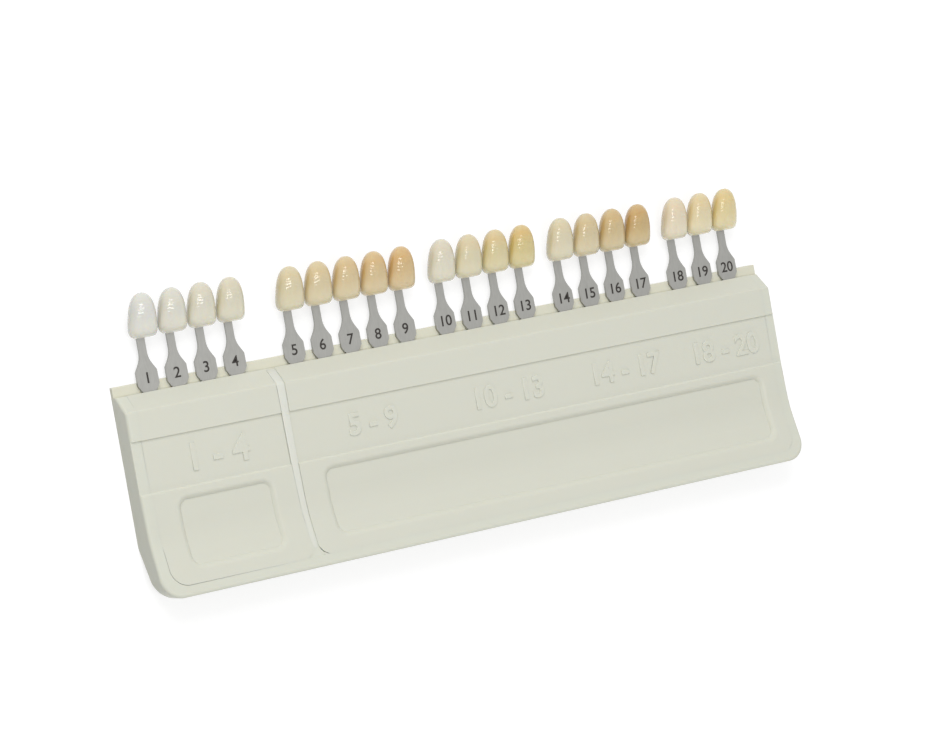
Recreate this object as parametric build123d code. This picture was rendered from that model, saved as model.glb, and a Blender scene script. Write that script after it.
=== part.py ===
"""Dental shade guide: a long moulded holder with twenty tooth-shaped shade tabs in slots along one edge.

Millimetres. X runs along the row of tabs, Y from the holder's lip to the tabs and Z up from its flat back.
The origin is under the middle of the whole guide, on the plane of the back.
"""
import os
from math import copysign, cos, pi, radians, sin, tan

from build123d import *

os.makedirs("parts", exist_ok=True)

# Holder, seen from the front: heights are measured along Y from the lip
body_length = 214.6
line_top = 52.4
land_height = 56.8
wall_height = 59.8
upper_step = 44.3
lower_ridge = 29.2
flare_start = 16.4
bevel_start = 15.0

# Holder, seen from the end: depths are measured along Z from the back
face_depth = 7.8
middle_depth = 7.35
flare_base_depth = 8.35
land_depth = 2.9
back_thickness = 1.5
flare_angle = 16.0
bevel_angle = 26.0

# Rounded corners and edges of the holder
lip_corner = 6.0
rim_edge = 0.9
lip_edge = 0.9
bend_radius = 30.0

# Front sections, and the rib between them
left_rim = 3.35
right_rim = 3.0
lip_rim = 3.1
rib_top = (46.1, 49.1)
rib_foot = (47.2, 48.9)
rib_drop = 0.25
rib_reach = 2.5
seam = 0.05
outer_seam_corner = 5.0
inner_seam_corner = 3.5

# Dished thumb recesses
dish_depth = 1.0
dish_low = 8.0
dish_high = 26.1
dish_corner = 2.5
small_dish_ends = (11.4, 39.2)
large_dish_ends = (57.0, 205.6)
dish_slope = 0.85
dish_round = 1.9

# Tabs
first_tab = 10.75
tab_pitch = 9.0
group_sizes = (4, 5, 4, 4, 3)
group_gaps = (18.7, 13.3, 13.3, 13.3)
slot_depth = 9.0
slot_width = 4.4
slot_room = 1.0

# Steel strip of a tab: heights are measured from the mouth of its slot
strip = 0.9
tang_length = 8.8
tang_half = 2.1
tang_corner = 0.6
step_half = 2.5
plate_low_half = 3.25
plate_high_half = 3.2
neck_half = 1.15
step_low = 0.5
step_high = 0.8
plate_low = 2.0
plate_high = 5.8
waist_slope = -0.55
neck_height = 11.0
tongue_root = 15.0
tongue_length = 5.2
tongue_bend = 14.0

# Tooth form of a tab: heights are measured from its biting edge
tooth_base = 15.0
tooth_height = 12.35
tooth_width = 8.45
tooth_depth = 6.4
side_fullness = 0.8
front_fullness = 0.85
back_draw = 0.06
section_points = 12

overall = land_height + tooth_base + tooth_height
middle = overall / 2


def up(height):
    """Y of a height measured from the lip."""
    return height - middle


def along(distance):
    """X of a distance measured from the holder's left end."""
    return distance - body_length / 2


def front_line(drop=0.0):
    """Corners and radii of the front surface, from the lip to the slot mouths, lowered by drop."""
    lip_depth = flare_base_depth + flare_start * tan(radians(flare_angle))
    corners = [
        (up(0), lip_depth - drop),
        (up(flare_start), flare_base_depth - drop),
        (up(lower_ridge), face_depth - drop),
        (up(line_top), face_depth - drop),
        (up(land_height), land_depth - drop),
    ]
    radii = [0, bend_radius, 2.0, 1.0, 0]
    return corners, radii


def end_section():
    """Section of the whole holder across its length, as a face in the YZ plane."""
    corners, radii = front_line()
    lip_under = bevel_start * tan(radians(bevel_angle))
    corners += [
        (up(land_height), back_thickness),
        (up(wall_height), back_thickness),
        (up(wall_height), 0),
        (up(bevel_start), 0),
        (up(0), lip_under),
    ]
    radii += [0, 0.3, 0.3, 3.0, lip_edge]
    return Plane.YZ * make_face(FilletPolyline(*corners, radius=radii, close=True))


def plan(left, right, low, high, radii):
    """Rounded outline seen from the front, extruded through the holder's whole depth."""
    corners = [(left, low), (right, low), (right, high), (left, high)]
    face = make_face(FilletPolyline(*corners, radius=radii, close=True))
    return extrude(face, 3 * face_depth)


def holder_blank():
    """The holder as if it were one piece, with its rounded edges and the shallow band across its middle."""
    half = body_length / 2
    bar = extrude(end_section(), half, both=True)
    outline = plan(-half, half, up(0), up(wall_height), [lip_corner, lip_corner, 0, 0])
    blank = bar & outline
    blank = fillet([edge for edge in blank.edges() if on_front_border(edge)], rim_edge)
    return blank - middle_band()


def on_front_border(edge):
    """True for the edges where the front surface meets the two ends and the lip."""
    centre = edge.center()
    box = edge.bounding_box()
    at_end = abs(centre.X) > body_length / 2 - 0.01 and box.size.Y > 0.5 and centre.Z > 0.6 * face_depth
    at_lip = centre.Y < up(0.01) and box.size.X > 1.0 and centre.Z > 1.2 * face_depth
    return at_end or at_lip


def middle_band():
    """Cutter for the shallow band between the two lines across the face."""
    step = face_depth - middle_depth
    corners = [
        (up(lower_ridge + step), middle_depth),
        (up(upper_step), middle_depth),
        (up(upper_step + 0.1), face_depth + 1),
        (up(lower_ridge - step), face_depth + 1),
        (up(lower_ridge), face_depth),
    ]
    section = Plane.YZ * make_face(Polyline(*corners, close=True))
    return extrude(section, body_length, both=True)


def above_tray():
    """Everything in front of the tray floor, which follows the holder's back."""
    slope = tan(radians(bevel_angle))
    bend = bevel_start - back_thickness * tan(radians(bevel_angle / 2))
    reach = bend * slope + back_thickness
    corners = [
        (up(bend), back_thickness),
        (up(wall_height + 1), back_thickness),
        (up(wall_height + 1), 3 * face_depth),
        (up(0), 3 * face_depth),
        (up(0), reach),
    ]
    section = Plane.YZ * make_face(Polyline(*corners, close=True))
    return extrude(section, body_length / 2, both=True)


def front_sections(clearance):
    """Small and large front outlines on both sides of the tapering rib, shrunk by a clearance."""
    low = up(lip_rim) + clearance
    high = up(wall_height + 1)
    corners = (outer_seam_corner, inner_seam_corner)
    small_ends = (along(left_rim) + clearance, along(rib_foot[0]) - clearance, along(rib_top[0]) - clearance)
    right_end = along(body_length - right_rim)
    large_ends = (right_end - clearance, along(rib_foot[1]) + clearance, along(rib_top[1]) + clearance)
    return [section_outline(ends, low, high, corners) for ends in (small_ends, large_ends)]


def section_outline(ends, low, high, corners):
    """One front section's outline as a solid: its outer side, then the foot and top of its inner side."""
    outer, foot, top = ends
    line = [(outer, high), (outer, low), (foot, low), (top, high)]
    face = make_face(FilletPolyline(*line, radius=[0, *corners, 0], close=True))
    return extrude(face, 3 * face_depth, dir=(0, 0, 1))


def carrier():
    """Back tray with the rear wall, the rims and the lowered rib between the front sections."""
    tray = blank
    for pocket in front_sections(0):
        tray -= pocket & room
    skin = blank - Pos(0, 0, -rib_drop) * blank
    rib_middle = along((rib_top[0] + rib_foot[1]) / 2)
    rib_zone = Pos(rib_middle, up(lip_rim) + overall, 0) * Box(2 * rib_reach, 2 * overall, 6 * face_depth)
    return tray - (skin & rib_zone & room)


def dish(ends):
    """Cutter for a recess whose floor follows the front surface."""
    corners, radii = front_line(dish_depth)
    kept = corners[1:3]
    first = (up(0), corners[0][1])
    last = (up(lower_ridge + 3), kept[1][1])
    sky = 4 * face_depth
    line = [first, kept[0], last, (last[0], sky), (first[0], sky)]
    section = Plane.YZ * make_face(FilletPolyline(*line, radius=[0, radii[1], 0, 0, 0], close=True))
    block = extrude(section, body_length / 2, both=True)
    return block & plan(along(ends[0]), along(ends[1]), up(dish_low), up(dish_high), [dish_corner] * 4)


def front_panel(outline, ends, slots):
    """Front section: its dished recess with softly rounded sides, and a slot behind it for each tab."""
    panel = blank & outline & room
    panel -= dish(ends)
    panel = chamfer([edge for edge in panel.edges() if on_dish_mouth(edge, ends)], dish_slope)
    panel = fillet([edge for edge in panel.edges() if on_dish_mouth(edge, ends)], dish_round)
    overrun = 0.5
    for x in slots:
        mouth = Pos(x, up(land_height - slot_depth / 2 + overrun), back_thickness + slot_room / 2)
        panel -= mouth * Box(slot_width, slot_depth + 2 * overrun, slot_room)
    return panel


def surface_depth(y):
    """Z of the front surface in the dished stretch, without the rounding of its bend."""
    bend = up(flare_start)
    if y < bend:
        return flare_base_depth + (bend - y) * tan(radians(flare_angle))
    return flare_base_depth - (y - bend) * (flare_base_depth - face_depth) / (lower_ridge - flare_start)


def on_dish_mouth(edge, ends):
    """True for the edges where the recess opens into the front surface."""
    centre = edge.center()
    box = edge.bounding_box()
    slack = 1.5 * dish_slope
    near = 0.3
    inside_x = along(ends[0]) - slack < centre.X < along(ends[1]) + slack
    inside_y = up(dish_low) - slack < centre.Y < up(dish_high) + slack
    lengthways = box.size.X > near or box.size.Y > near
    return inside_x and inside_y and lengthways and abs(surface_depth(centre.Y) - centre.Z) < near


def tab_places():
    """X of every tab, group by group."""
    places = []
    x = along(first_tab)
    for size, gap in zip(group_sizes, group_gaps + (0,)):
        for step in range(size):
            places.append(x + step * tab_pitch)
        x += (size - 1) * tab_pitch + gap
    return places


def stem():
    """Steel strip, cut to its outline and bent forward where it enters the tooth."""
    mouth = up(land_height)
    foot = mouth - tang_length
    tip = mouth + tongue_root + tongue_length
    plate = Polyline(
        (0, foot),
        (tang_half - tang_corner, foot),
        (tang_half, foot + tang_corner),
        (tang_half, mouth + step_low),
        (step_half, mouth + step_low),
        (step_half, mouth + step_high),
        (plate_low_half, mouth + plate_low),
        (plate_high_half, mouth + plate_high),
    )
    waist = Spline(
        (plate_high_half, mouth + plate_high),
        (neck_half, mouth + neck_height),
        tangents=((waist_slope, 1.0), (0.0, 1.0)),
    )
    neck = Polyline((neck_half, mouth + neck_height), (neck_half, tip), (0, tip))
    half = make_face([plate, waist, neck, Line((0, tip), (0, foot))])
    return extrude(half + mirror(half, Plane.YZ), 4 * face_depth) & bent_sheet()


def bent_sheet():
    """Sheet of the strip's thickness, with the tongue's bend, wider than any strip."""
    low = back_thickness + (slot_room - strip) / 2
    root = up(land_height + tongue_root)
    run = tongue_length * cos(radians(tongue_bend))
    rise = tongue_length * sin(radians(tongue_bend))
    lift = strip * cos(radians(tongue_bend))
    back = strip * sin(radians(tongue_bend))
    corners = [
        (up(land_height - tang_length - 1), low),
        (root, low),
        (root + run, low + rise),
        (root + run - back, low + rise + lift),
        (root - strip * tan(radians(tongue_bend / 2)), low + strip),
        (up(land_height - tang_length - 1), low + strip),
    ]
    section = Plane.YZ * make_face(Polyline(*corners, close=True))
    return extrude(section, 2 * plate_low_half, both=True)


def tooth_section(height, width, depth, centre, aside=0.0):
    """Rounded section of the tooth: a flatter front, and sides drawn in towards the back."""
    points = []
    for step in range(section_points):
        turn = 2 * pi * step / section_points
        side = copysign(abs(cos(turn)) ** side_fullness, cos(turn))
        front = copysign(abs(sin(turn)) ** front_fullness, sin(turn))
        draw = 1.0 - back_draw * max(0.0, -front)
        points.append((width / 2 * side * draw, depth / 2 * front))
    origin = (aside, up(land_height + tooth_base + height), centre)
    plane = Plane(origin=origin, x_dir=(1, 0, 0), z_dir=(0, -1, 0))
    return plane * make_face(Spline(*points, periodic=True))


def tooth():
    """Upper front tooth: a biting edge below with a rounder left corner, a dome above, leaning forward."""
    sections = [
        tooth_section(0, 0.64 * tooth_width, 0.50 * tooth_depth, 3.4, 0.7),
        tooth_section(0.035 * tooth_height, 0.84 * tooth_width, 0.70 * tooth_depth, 3.7, 0.5),
        tooth_section(0.11 * tooth_height, 0.96 * tooth_width, 0.88 * tooth_depth, 4.2, 0.22),
        tooth_section(0.25 * tooth_height, tooth_width, 0.98 * tooth_depth, 4.9),
        tooth_section(0.48 * tooth_height, 0.955 * tooth_width, tooth_depth, 5.8),
        tooth_section(0.68 * tooth_height, 0.855 * tooth_width, 0.93 * tooth_depth, 6.5),
        tooth_section(0.84 * tooth_height, 0.69 * tooth_width, 0.76 * tooth_depth, 7.0),
        tooth_section(0.95 * tooth_height, 0.44 * tooth_width, 0.48 * tooth_depth, 7.3),
        tooth_section(tooth_height, 0.12 * tooth_width, 0.13 * tooth_depth, 7.4),
    ]
    return loft(sections)


blank = holder_blank()
room = above_tray()
places = tab_places()
small_outline, large_outline = front_sections(seam)
small_slots = places[:group_sizes[0]]
large_slots = places[group_sizes[0]:]

export_step(carrier(), "parts/carrier.step")
export_step(front_panel(small_outline, small_dish_ends, small_slots), "parts/small_holder.step")
export_step(front_panel(large_outline, large_dish_ends, large_slots), "parts/large_holder.step")

tab_tooth = tooth()
tab_stem = stem()
for number, x in enumerate(places, start=1):
    export_step(Pos(x, 0, 0) * tab_stem, f"parts/stem_{number:02d}.step")
    export_step(Pos(x, 0, 0) * (tab_tooth - tab_stem), f"parts/tooth_{number:02d}.step")
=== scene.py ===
"""Looks of the dental shade guide: moulded ivory plastic, matt steel strips and layered tooth forms.

Metres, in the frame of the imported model: X along the row of tabs, Y from the lip to the tabs,
Z up from the back.
"""
import math

import bmesh
import bpy
from mathutils import Matrix, Vector


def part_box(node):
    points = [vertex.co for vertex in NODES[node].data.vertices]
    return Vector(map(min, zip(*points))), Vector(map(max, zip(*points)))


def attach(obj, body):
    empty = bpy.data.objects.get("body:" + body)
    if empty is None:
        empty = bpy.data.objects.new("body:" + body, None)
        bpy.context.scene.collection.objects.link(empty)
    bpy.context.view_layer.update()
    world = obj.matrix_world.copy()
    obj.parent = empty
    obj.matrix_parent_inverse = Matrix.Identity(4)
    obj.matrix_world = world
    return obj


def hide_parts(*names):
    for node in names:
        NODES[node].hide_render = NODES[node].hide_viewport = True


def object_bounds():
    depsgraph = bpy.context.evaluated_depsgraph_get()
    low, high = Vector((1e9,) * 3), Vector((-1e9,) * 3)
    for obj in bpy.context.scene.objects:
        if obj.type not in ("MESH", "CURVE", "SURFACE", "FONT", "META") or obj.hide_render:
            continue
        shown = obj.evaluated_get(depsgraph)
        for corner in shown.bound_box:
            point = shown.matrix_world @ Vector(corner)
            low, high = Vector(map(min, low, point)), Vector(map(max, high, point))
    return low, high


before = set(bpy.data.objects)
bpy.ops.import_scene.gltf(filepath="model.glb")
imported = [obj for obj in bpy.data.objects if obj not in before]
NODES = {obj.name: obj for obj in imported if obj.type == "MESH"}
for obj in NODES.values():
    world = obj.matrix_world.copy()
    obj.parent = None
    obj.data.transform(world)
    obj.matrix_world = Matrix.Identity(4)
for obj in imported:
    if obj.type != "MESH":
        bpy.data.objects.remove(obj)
cad_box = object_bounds()

MM = 0.001
TAB_NUMBERS = sorted(name.removeprefix("tooth_") for name in NODES if name.startswith("tooth_"))

# Places of the holder, from the frame: its left end, its lip and the foot of its rear wall
LEFT_END = cad_box[0][0]
LIP = cad_box[0][1]
WALL_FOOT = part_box("large_holder")[1][1]

# Camera: the photograph's viewpoint, in metres, and its long lens
EYE = Vector((-0.4759, WALL_FOOT + 0.0315, 0.8737))
LOOK = Vector((0.4803, -0.0445, -0.8760))
UPWARD = Vector((0.1730, 0.9839, 0.0449))
LENS_MM = 133.0
SENSOR_MM = 36.0
NEAREST = 0.01
FARTHEST = 20.0

# Lamps: name, place, side along the row and other side in metres, watts, and whether glosses show it
LAMPS = [
    ("key", (-0.32, 0.80, 0.80), (0.80, 0.80), 7.8, False),
    ("fill", (0.10, -1.10, 0.20), (0.90, 0.25), 3.2, False),
    ("gloss", (-0.10, -0.24, 1.05), (0.50, 0.22), 1.8, True),
]

# White ground: the floor's size in metres, its linear grey, its glow where it is seen, and the strength of
# the surround, first as light on the object and then where it is seen
FLOOR_SIZE = 4.0
FLOOR_SHADE = 0.45
FLOOR_GLOW = 0.66
SURROUND_LIGHT = 0.48
SURROUND_SEEN = 1.0

# Rib between the front sections, in millimetres. Its front line is a list of heights above the lip and
# depths above the back, with two more points on the flat stretch to keep its shading even. Its left and
# right side, at the foot and at the top, are measured from the holder's left end
RIB_PROFILE = [
    (4.6, 11.33), (6.0, 11.03), (9.0, 10.30), (12.5, 9.32), (15.0, 8.78), (17.5, 8.42),
    (20.5, 8.22), (24.0, 8.04), (28.0, 7.88), (32.0, 7.82), (40.0, 7.82), (48.0, 7.82),
    (51.6, 7.82), (52.4, 7.62), (53.2, 6.90), (55.0, 4.90), (56.5, 3.23),
]
RIB_FOOT = (47.16, 48.75)
RIB_TOP = (46.35, 48.75)
RIB_CROWN = 0.08
RIB_ROUNDNESS = 0.7
RIB_THICKNESS = 0.6
RIB_ACROSS = (0.0, 0.12, 0.32, 0.5, 0.68, 0.88, 1.0)
RIB_SHARP_ANGLE = 50.0

# Seams of the front sections: pushed shut except near these places. Each place is a share of the section's
# length, the height above its lower edge, the reach, and how far the wall draws back there
SEAM = 0.055 * MM
SEAM_OPEN = {
    "small_holder": ((0.0, 0.0, 12.0 * MM, 0.05 * MM), (1.0, 7.0 * MM, 6.0 * MM, 0.03 * MM)),
    "large_holder": ((0.0, 0.0, 2.6 * MM, 0.09 * MM),),
}

# Share of the reach that stays fully open, the upward part of a normal below which a face is a side wall,
# and the smallest cosine between a corner's push and its walls that counts
SEAM_FULLY_OPEN = 0.75
WALL_LEAN = 0.3
CORNER_LIMIT = 0.5

# Points closer than this are one
MERGE = 0.002 * MM

# Grooves of the teeth: their depth, then in millimetres their places across the tooth, their width and the
# lean that differs from tooth to tooth, and where they rise and fade, as shares of the tooth's height
GROOVE_DEPTH = 0.11 * MM
GROOVE_PLACES = (-1.35, 1.30)
GROOVE_WIDTH = 0.62
GROOVE_LEAN = 0.12
GROOVE_SPAN = ((0.0, 0.10), (0.50, 0.80))

# Growth lines of the teeth: their depth and pitch, how far they wave as a share of the pitch, their width
# across the tooth in millimetres, and where they rise and fade
LINE_DEPTH = 0.060 * MM
LINE_PITCH = 0.92 * MM
LINE_WAVE = 0.22
LINE_WIDTH = 3.4
LINE_SPAN = ((0.34, 0.50), (0.80, 0.96))

# Upward part of a tooth's normal at which the grooves and lines start, and at which they are full
FRONT_FACING = (0.30, 0.85)

# Steel strips: the rounding of edges sharper than an angle, and the front face of their plates
STRIP_ROUNDING = 0.07 * MM
STRIP_SHARP_ANGLE = 35.0
PLATE_FRONT = 2.45 * MM

# Numbers printed on the plates: their size, middle and boldness, and half the thickness of the ink
LABEL_SIZE = 4.3 * MM
LABEL_MIDDLE = WALL_FOOT + 3.75 * MM
LABEL_BOLD = 0.055 * MM
INK_HALF = 0.01 * MM

# Raised ranges in the middle band: a large one on the short section, smaller ones on the long one
BAND_MIDDLE = WALL_FOOT - 20.1 * MM
BAND_DEPTH = 7.35 * MM
LARGE_RANGE = 10.5 * MM
SMALL_RANGE = 8.6 * MM
RANGE_BOLD = 0.12 * MM
RANGE_RAISED = 0.18 * MM
RANGE_ROUNDING = 0.14 * MM

# The rear wall's own colour takes over between these heights
WALL_FADE = (WALL_FOOT - 0.3 * MM, WALL_FOOT + 0.2 * MM)

# Colours as sRGB
BLACK = (0.0, 0.0, 0.0)
WHITE = (1.0, 1.0, 1.0)
IVORY = (0.836, 0.838, 0.786)
TRAY_IVORY = (0.838, 0.843, 0.790)
WALL_IVORY = (0.856, 0.850, 0.782)
RIB_WHITE = (0.862, 0.864, 0.824)
FLOW_GREY = (0.74, 0.75, 0.70)
STEEL = (0.680, 0.678, 0.660)
PRINT_GREY = (0.15, 0.13, 0.11)
EDGE_WHITE = (0.89, 0.88, 0.81)
NECK_WHITE = (0.85, 0.85, 0.81)

# Each group of shades: number of tabs, lightest body and neck, darkest body and neck
SHADE_GROUPS = [
    (4, (0.840, 0.838, 0.812), (0.848, 0.846, 0.816), (0.828, 0.808, 0.722), (0.842, 0.812, 0.715)),
    (5, (0.826, 0.784, 0.650), (0.842, 0.784, 0.630), (0.800, 0.690, 0.484), (0.826, 0.682, 0.442)),
    (4, (0.838, 0.818, 0.742), (0.848, 0.818, 0.730), (0.808, 0.744, 0.508), (0.842, 0.728, 0.465)),
    (4, (0.830, 0.794, 0.676), (0.842, 0.794, 0.655), (0.756, 0.648, 0.424), (0.784, 0.642, 0.392)),
    (3, (0.868, 0.820, 0.716), (0.880, 0.818, 0.695), (0.848, 0.786, 0.582), (0.864, 0.778, 0.545)),
]

# Painted light: a tooth's biting edge is brightened by this factor over its body, to make up for the shade
# that falls there, before some of the edge's own paler white comes in
EDGE_LIGHT_LIFT = 1.07


def linear(colour):
    """Linear RGBA of an sRGB colour."""
    out = [c / 12.92 if c <= 0.04045 else ((c + 0.055) / 1.055) ** 2.4 for c in colour]
    return (*out, 1.0)


def grey(level):
    """Grey of a linear level, as RGBA."""
    return (level, level, level, 1.0)


def mix(low, high, share):
    """Colour, or pair of places, a share of the way from low to high."""
    return tuple(a + (b - a) * share for a, b in zip(low, high))


def bell(distance, width):
    """Smooth bump of height one around zero."""
    return math.exp(-(distance / width) ** 2)


def ease(value, low, high):
    """Smooth rise from zero at low to one at high."""
    share = min(1.0, max(0.0, (value - low) / (high - low)))
    return share * share * (3.0 - 2.0 * share)


def within(value, span):
    """One inside a span that rises between its first two values and fades between its last two."""
    rise, fade = span
    return ease(value, *rise) * (1.0 - ease(value, *fade))


def spot(point):
    """Cell of a fine grid, the same for points that lie on each other."""
    return tuple(round(part / MERGE) for part in point)


def seen_directly(tree):
    """One for rays from the camera, a gloss or a clear body, zero for the light that falls on things."""
    path = tree.nodes.new("ShaderNodeLightPath")
    total = path.outputs["Is Camera Ray"]
    for kind in ("Is Glossy Ray", "Is Transmission Ray"):
        either = tree.nodes.new("ShaderNodeMath")
        either.operation = "MAXIMUM"
        tree.links.new(total, either.inputs[0])
        tree.links.new(path.outputs[kind], either.inputs[1])
        total = either.outputs[0]
    return total


class Nodes:
    """Short calls for building one node material."""

    # A colour mix has its factor, its two colours and its result on these sockets
    MIX_SOCKETS = (0, 6, 7)
    MIX_RESULT = 2

    def __init__(self, name):
        self.material = bpy.data.materials.new(name)
        self.material.use_nodes = True
        self.tree = self.material.node_tree
        self.shader = self.tree.nodes["Principled BSDF"]

    def add(self, kind, **values):
        node = self.tree.nodes.new(kind)
        for key, value in values.items():
            setattr(node, key, value)
        return node

    def link(self, source, target):
        self.tree.links.new(source, target)

    def fill(self, socket, value):
        """A link, a number or a colour on a socket."""
        if isinstance(value, bpy.types.NodeSocket):
            self.link(value, socket)
        else:
            socket.default_value = value

    def coordinates(self, which="Object", scale=(1, 1, 1)):
        """Texture coordinates in metres, or along the piece's own box, stretched by scale."""
        source = self.add("ShaderNodeTexCoord")
        mapping = self.add("ShaderNodeMapping")
        mapping.inputs["Scale"].default_value = scale
        self.link(source.outputs[which], mapping.inputs["Vector"])
        return mapping.outputs["Vector"]

    def axes(self, vector):
        """The three parts of a vector."""
        node = self.add("ShaderNodeSeparateXYZ")
        self.link(vector, node.inputs["Vector"])
        return node.outputs["X"], node.outputs["Y"], node.outputs["Z"]

    def math(self, operation, *values):
        """One operation on links and numbers."""
        node = self.add("ShaderNodeMath", operation=operation)
        for socket, value in zip(node.inputs, values):
            self.fill(socket, value)
        return node.outputs[0]

    def noise(self, vector, scale, detail, roughness=0.5):
        node = self.add("ShaderNodeTexNoise")
        node.inputs["Scale"].default_value = scale
        node.inputs["Detail"].default_value = detail
        node.inputs["Roughness"].default_value = roughness
        self.link(vector, node.inputs["Vector"])
        return node.outputs["Fac"]

    def ramp(self, factor, stops):
        """Colour or value ramp: stops are (position, linear colour)."""
        node = self.add("ShaderNodeValToRGB")
        elements = node.color_ramp.elements
        while len(elements) < len(stops):
            elements.new(0.5)
        for element, (position, colour) in zip(elements, stops):
            element.position = position
            element.color = colour
        self.link(factor, node.inputs["Fac"])
        return node.outputs["Color"]

    def spread(self, factor, low=0.0, high=1.0, start=0.0, end=1.0):
        """A value from low to high while factor goes from start to end."""
        node = self.add("ShaderNodeMapRange")
        node.inputs["From Min"].default_value = start
        node.inputs["From Max"].default_value = end
        node.inputs["To Min"].default_value = low
        node.inputs["To Max"].default_value = high
        self.link(factor, node.inputs["Value"])
        return node.outputs["Result"]

    def blend(self, factor, first, second):
        """Colour mix of two links or colours."""
        node = self.add("ShaderNodeMix", data_type="RGBA")
        for index, value in zip(self.MIX_SOCKETS, (factor, first, second)):
            self.fill(node.inputs[index], value)
        return node.outputs[self.MIX_RESULT]

    def bump(self, height, distance, strength, normal=None):
        node = self.add("ShaderNodeBump")
        node.inputs["Distance"].default_value = distance
        node.inputs["Strength"].default_value = strength
        self.link(height, node.inputs["Height"])
        if normal is not None:
            self.link(normal, node.inputs["Normal"])
        return node.outputs["Normal"]

    def set(self, **values):
        """Numbers or links on the shader's own sockets."""
        for key, value in values.items():
            self.fill(self.shader.inputs[key.replace("_", " ")], value)


def plastic(name, colour, wall_colour=None):
    """Satin moulded plastic with a faint mottle and a fine grain; the rear wall may differ in colour."""
    n = Nodes(name)
    place = n.coordinates()
    mottle = n.noise(place, scale=45.0, detail=4.0)
    flow = linear(mix(colour, FLOW_GREY, 0.08))
    base = n.blend(n.spread(mottle, 0.25, 0.75), flow, linear(colour))
    if wall_colour:
        up = n.axes(place)[1]
        wall = n.spread(up, start=WALL_FADE[0], end=WALL_FADE[1])
        base = n.blend(wall, base, linear(wall_colour))
    grain = n.noise(place, scale=2600.0, detail=2.0, roughness=0.6)
    waves = n.noise(place, scale=120.0, detail=2.0)
    wavy = n.bump(waves, distance=0.15 * MM, strength=0.25)
    n.set(
        Base_Color=base,
        Roughness=n.spread(mottle, 0.40, 0.52),
        IOR=1.49,
        Subsurface_Weight=0.20,
        Subsurface_Scale=1.2 * MM,
        Subsurface_Radius=(1.0, 0.8, 0.55),
        Normal=n.bump(grain, distance=0.03 * MM, strength=0.35, normal=wavy),
    )
    return n.material


def steel():
    """Matt rolled steel with fine lines along the strip."""
    n = Nodes("strip_steel")
    lines = n.noise(n.coordinates(scale=(1.0, 0.06, 1.0)), scale=5200.0, detail=2.0, roughness=0.6)
    cloud = n.noise(n.coordinates(), scale=420.0, detail=3.0)
    dark = linear(mix(STEEL, BLACK, 0.22))
    light = linear(mix(STEEL, WHITE, 0.06))
    hazy = linear(mix(STEEL, WHITE, 0.10))
    lined = n.blend(n.spread(lines, 0.2, 0.8), dark, light)
    n.set(
        Base_Color=n.blend(n.spread(cloud, 0.0, 0.35), lined, hazy),
        Metallic=1.0,
        Roughness=n.spread(cloud, 0.36, 0.50),
        Normal=n.bump(lines, distance=0.012 * MM, strength=0.6),
    )
    return n.material


def print_ink():
    """Dark grey pad print, slightly uneven."""
    n = Nodes("label_ink")
    cloud = n.noise(n.coordinates(), scale=1600.0, detail=3.0)
    dark = linear(mix(PRINT_GREY, BLACK, 0.3))
    light = linear(mix(PRINT_GREY, WHITE, 0.08))
    n.set(
        Base_Color=n.blend(cloud, dark, light),
        Roughness=n.spread(cloud, 0.5, 0.7),
    )
    return n.material


def enamel(name, body, neck, seed):
    """Tooth: a paler biting edge brightened by painted light, the shade's body, a warmer neck, and flanks
    with painted light through the rim, paler low down and warmer higher up, under a clear gloss.
    """
    n = Nodes(name)
    across, up, _ = n.axes(n.coordinates("Generated"))
    wobble = n.noise(n.coordinates(), scale=260.0 + 7.0 * seed, detail=2.0)
    drift = n.math("MULTIPLY_ADD", wobble, 0.12, up)
    # Painted light: the biting edge takes the body brightened to make up for the shade that falls there,
    # mixed with the edge's own paler white
    pale_lit_edge = mix(tuple(EDGE_LIGHT_LIFT * part for part in body), EDGE_WHITE, 0.35)
    layers = n.ramp(drift, [
        (0.10, linear(pale_lit_edge)),
        (0.26, linear(mix(pale_lit_edge, body, 0.25))),
        (0.46, linear(mix(pale_lit_edge, body, 0.80))),
        (0.62, linear(body)),
        (0.84, linear(neck)),
        (1.00, linear(mix(neck, NECK_WHITE, 0.18))),
    ])
    # Painted light on the flanks: toward each side the tooth turns paler low down and warmer higher up,
    # standing in for light through the thin rim and lifting the shade on the flanks
    side = n.math("ABSOLUTE", n.math("SUBTRACT", across, 0.5))
    flank_light_mask = n.ramp(side, [(0.26, grey(0.0)), (0.46, grey(0.45))])
    warm_rim_light = mix(body, tuple(part * part / body[0] for part in body), 0.8)
    high = n.ramp(drift, [(0.25, grey(0.0)), (0.60, grey(1.0))])
    flank_painted_light = n.blend(high, linear(pale_lit_edge), linear(warm_rim_light))
    fine = n.noise(n.coordinates(scale=(1.0, 2.2, 1.0)), scale=1700.0, detail=2.0)
    n.set(
        Base_Color=n.blend(flank_light_mask, layers, flank_painted_light),
        Roughness=n.spread(wobble, 0.16, 0.27),
        IOR=1.52,
        Subsurface_Weight=0.55,
        Subsurface_Scale=1.4 * MM,
        Subsurface_Radius=(1.0, 0.75, 0.45),
        Coat_Weight=0.9,
        Coat_Roughness=0.12,
        Normal=n.bump(fine, distance=0.012 * MM, strength=0.35),
    )
    return n.material


def shade_list():
    """Body and neck colour of every tab, group by group."""
    shades = []
    for count, body_light, neck_light, body_dark, neck_dark in SHADE_GROUPS:
        for step in range(count):
            share = step / (count - 1)
            shades.append((mix(body_light, body_dark, share), mix(neck_light, neck_dark, share)))
    return shades


def new_object(name, data):
    """Object of the scene with this mesh, text, lamp or camera in it."""
    made = bpy.data.objects.new(name, data)
    bpy.context.scene.collection.objects.link(made)
    return made


def paint(piece, material):
    """One material on a whole piece."""
    piece.data.materials.clear()
    piece.data.materials.append(material)


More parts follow.
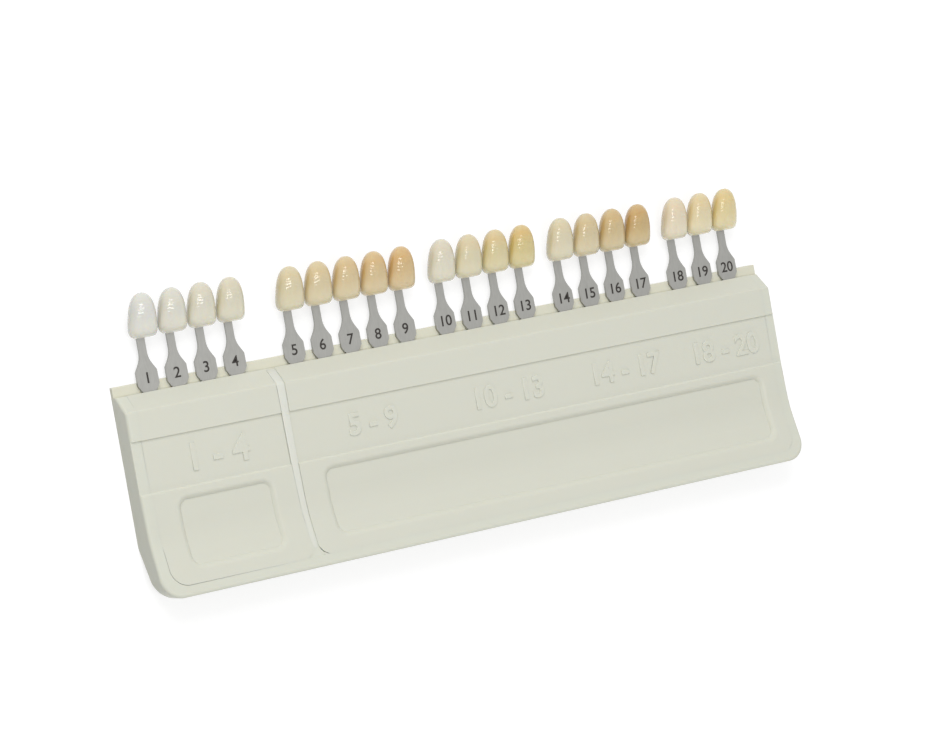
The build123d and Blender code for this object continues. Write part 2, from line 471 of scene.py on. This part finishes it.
def soften(piece, width, angle):
    """Small rounding of a piece's edges that are sharper than an angle in degrees."""
    bevel = piece.modifiers.new("edges", "BEVEL")
    bevel.width = width
    bevel.segments = 2
    bevel.limit_method = "ANGLE"
    bevel.angle_limit = math.radians(angle)
    bevel.harden_normals = True


def tooth_relief(across, height, tall, seed):
    """Depth of the grooves and growth lines at a place on a tooth, which differ a little with the seed."""
    lean = GROOVE_LEAN * math.sin(1.7 * seed)
    grooves = sum(bell(across - place + lean, GROOVE_WIDTH) for place in GROOVE_PLACES)
    grooves *= within(height, GROOVE_SPAN)
    beat = height * tall / LINE_PITCH + LINE_WAVE * math.sin(0.9 * across + seed)
    lines = 0.5 - 0.5 * math.cos(2.0 * math.pi * beat)
    lines *= within(height, LINE_SPAN) * bell(across, LINE_WIDTH)
    return GROOVE_DEPTH * grooves + LINE_DEPTH * lines


def carve_tooth(number, seed):
    """Copy of a tooth with two shallow grooves between its lobes and growth lines across its face."""
    node = NODES[f"tooth_{number}"]
    mesh = node.data.copy()
    custom = mesh.attributes.get("custom_normal")
    if custom:
        mesh.attributes.remove(custom)
    low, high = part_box(f"tooth_{number}")
    middle = (low[0] + high[0]) / 2
    tall = high[1] - low[1]
    form = bmesh.new()
    form.from_mesh(mesh)
    bmesh.ops.remove_doubles(form, verts=form.verts, dist=MERGE)
    form.normal_update()
    for vertex in form.verts:
        normal = vertex.normal.copy()
        facing = ease(normal.z, *FRONT_FACING)
        if facing == 0.0:
            continue
        across = (vertex.co.x - middle) / MM
        height = (vertex.co.y - low[1]) / tall
        vertex.co -= normal * facing * tooth_relief(across, height, tall, seed)
    for face in form.faces:
        face.smooth = True
    form.to_mesh(mesh)
    form.free()
    piece = new_object(f"form_{number}", mesh)
    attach(piece, f"tab_{number}")
    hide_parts(f"tooth_{number}")
    return piece


def close_seams(name):
    """Copy of a front section with its side walls pushed out onto the holder, except at its open places."""
    mesh = NODES[name].data.copy()
    low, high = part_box(name)
    places = [(Vector((low[0] + (high[0] - low[0]) * end, low[1] + rise)), reach, draw)
              for end, rise, reach, draw in SEAM_OPEN[name]]
    walls = {}
    for face in mesh.polygons:
        if abs(face.normal.z) < WALL_LEAN:
            for index in face.vertices:
                corner = spot(mesh.vertices[index].co)
                walls.setdefault(corner, []).append(face.normal.xy.normalized())
    for vertex in mesh.vertices:
        facings = walls.get(spot(vertex.co))
        if facings:
            outward = sum(facings, Vector((0.0, 0.0))).normalized()
            shut, draw = min((ease((vertex.co.xy - place).length, SEAM_FULLY_OPEN * reach, reach), back)
                             for place, reach, back in places)
            slant = max(CORNER_LIMIT, min(outward.dot(facing) for facing in facings))
            shift = outward * ((SEAM * shut - draw * (1.0 - shut)) / slant)
            vertex.co += Vector((shift.x, shift.y, 0.0))
    piece = new_object(f"closed_{name}", mesh)
    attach(piece, "holder")
    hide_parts(name)
    return piece


def rib_section():
    """Crowned front of the rib strip from left to right, then its back: shares across and heights in mm."""
    front = [(part, RIB_CROWN * math.sin(math.pi * part) ** RIB_ROUNDNESS) for part in RIB_ACROSS]
    return front + [(1.0, -RIB_THICKNESS), (0.0, -RIB_THICKNESS)]


def rib_strip(material):
    """Pale crowned strip over the rib between the two front sections, along their front surface."""
    form = bmesh.new()
    rows = []
    first, last = RIB_PROFILE[0][0], RIB_PROFILE[-1][0]
    for height, depth in RIB_PROFILE:
        left, right = mix(RIB_FOOT, RIB_TOP, (height - first) / (last - first))
        row = []
        for part, lift in rib_section():
            x = LEFT_END + (left + (right - left) * part) * MM
            row.append(form.verts.new((x, LIP + height * MM, (depth + lift) * MM)))
        rows.append(row)
    for low, high in zip(rows, rows[1:]):
        for index in range(len(low)):
            after = (index + 1) % len(low)
            form.faces.new((low[index], low[after], high[after], high[index]))
    form.faces.new(reversed(rows[0]))
    form.faces.new(rows[-1])
    bmesh.ops.recalc_face_normals(form, faces=form.faces)
    for face in form.faces:
        face.smooth = True
    mesh = bpy.data.meshes.new("rib_strip")
    form.to_mesh(mesh)
    form.free()
    mesh.set_sharp_from_angle(angle=math.radians(RIB_SHARP_ANGLE))
    mesh.materials.append(material)
    piece = new_object("rib_strip", mesh)
    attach(piece, "holder")
    return piece


def text_piece(name, words, size, place, body, material, bold, raised, rounding=0.0):
    """Numbers lying on a surface that faces up, on the body that carries them."""
    data = bpy.data.curves.new(name, "FONT")
    data.body = words
    data.size = size
    data.align_x = "CENTER"
    data.align_y = "CENTER"
    data.offset = bold
    data.extrude = raised
    data.bevel_depth = rounding
    data.bevel_resolution = 3
    data.materials.append(material)
    piece = new_object(name, data)
    piece.location = place
    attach(piece, body)
    return piece


def dress_holder(front_material):
    """Front sections with closed seams, the tray and the rib in their own ivories."""
    paint(close_seams("small_holder"), front_material)
    paint(close_seams("large_holder"), front_material)
    paint(NODES["carrier"], plastic("tray_ivory", TRAY_IVORY, WALL_IVORY))
    rib_strip(plastic("rib_white", RIB_WHITE))


def dress_tabs():
    """Strip, tooth and printed number of every tab, and the places of the tabs along the row."""
    strip_steel = steel()
    ink = print_ink()
    middles = []
    for index, (number, (body_colour, neck_colour)) in enumerate(zip(TAB_NUMBERS, shade_list())):
        strip = NODES[f"stem_{number}"]
        paint(strip, strip_steel)
        soften(strip, STRIP_ROUNDING, STRIP_SHARP_ANGLE)
        paint(carve_tooth(number, index), enamel(f"shade_{number}", body_colour, neck_colour, index))
        low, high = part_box(f"stem_{number}")
        middle = (low[0] + high[0]) / 2
        middles.append(middle)
        place = (middle, LABEL_MIDDLE, PLATE_FRONT + INK_HALF)
        text_piece(f"label_{number}", str(index + 1), LABEL_SIZE, place, f"tab_{number}", ink,
                   bold=LABEL_BOLD, raised=INK_HALF)
    return middles


def raise_ranges(middles, front_material):
    """Ranges of the tabs' numbers: the first amid the short section, the others below their tabs."""
    first = 0
    for group, (count, *_) in enumerate(SHADE_GROUPS, start=1):
        last = first + count - 1
        if group == 1:
            size = LARGE_RANGE
            low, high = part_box("small_holder")
            left, right = low[0], high[0]
        else:
            size = SMALL_RANGE
            left, right = middles[first], middles[last]
        place = ((left + right) / 2, BAND_MIDDLE, BAND_DEPTH)
        text_piece(f"raised_{group}", f"{first + 1} - {last + 1}", size, place, "holder", front_material,
                   bold=RANGE_BOLD, raised=RANGE_RAISED, rounding=RANGE_ROUNDING)
        first = last + 1


def floor():
    """White floor that keeps soft shadows."""
    bpy.ops.mesh.primitive_plane_add(size=FLOOR_SIZE, location=(0, 0, 0))
    plane = bpy.context.object
    plane.name = "floor"
    n = Nodes("floor_white")
    n.set(Base_Color=grey(FLOOR_SHADE), Roughness=0.9)
    glow = n.add("ShaderNodeEmission")
    glow.inputs["Color"].default_value = grey(1.0)
    n.link(n.math("MULTIPLY", seen_directly(n.tree), FLOOR_GLOW), glow.inputs["Strength"])
    total = n.add("ShaderNodeAddShader")
    n.link(n.shader.outputs[0], total.inputs[0])
    n.link(glow.outputs[0], total.inputs[1])
    n.link(total.outputs[0], n.tree.nodes["Material Output"].inputs["Surface"])
    paint(plane, n.material)


def surround():
    """Even light from all sides, and pure white where it is seen."""
    world = bpy.data.worlds.new("surround")
    bpy.context.scene.world = world
    world.use_nodes = True
    tree = world.node_tree
    background = tree.nodes["Background"]
    background.inputs["Color"].default_value = grey(1.0)
    level = tree.nodes.new("ShaderNodeMapRange")
    level.inputs["To Min"].default_value = SURROUND_LIGHT
    level.inputs["To Max"].default_value = SURROUND_SEEN
    tree.links.new(seen_directly(tree), level.inputs["Value"])
    tree.links.new(level.outputs["Result"], background.inputs["Strength"])


def set_up(thing, place, right, top, back):
    """Lamp or camera at a place, with its own axes along these directions."""
    turn = Matrix((right, top, back)).transposed()
    thing.matrix_world = Matrix.Translation(place) @ turn.to_4x4()


def lamp(name, place, size, power, shines):
    """Soft light that points at the middle of the guide, with its first side along the row."""
    data = bpy.data.lights.new(name, "AREA")
    data.shape = "RECTANGLE"
    data.size, data.size_y = size
    data.energy = power
    light = new_object(name, data)
    light.visible_glossy = shines
    back = Vector(place).normalized()
    top = back.cross(Vector((1, 0, 0))).normalized()
    set_up(light, place, top.cross(back), top, back)


def camera():
    """Long lens at the photograph's viewpoint."""
    data = bpy.data.cameras.new("camera")
    data.lens = LENS_MM
    data.sensor_width = SENSOR_MM
    data.sensor_fit = "HORIZONTAL"
    data.clip_start = NEAREST
    data.clip_end = FARTHEST
    eye = new_object("camera", data)
    back = -LOOK.normalized()
    right = UPWARD.cross(back).normalized()
    set_up(eye, EYE, right, back.cross(right), back)
    bpy.context.scene.camera = eye


front_ivory = plastic("front_ivory", IVORY)
dress_holder(front_ivory)
raise_ranges(dress_tabs(), front_ivory)

floor()
surround()
for values in LAMPS:
    lamp(*values)
camera()
bpy.context.scene.view_settings.view_transform = "Standard"
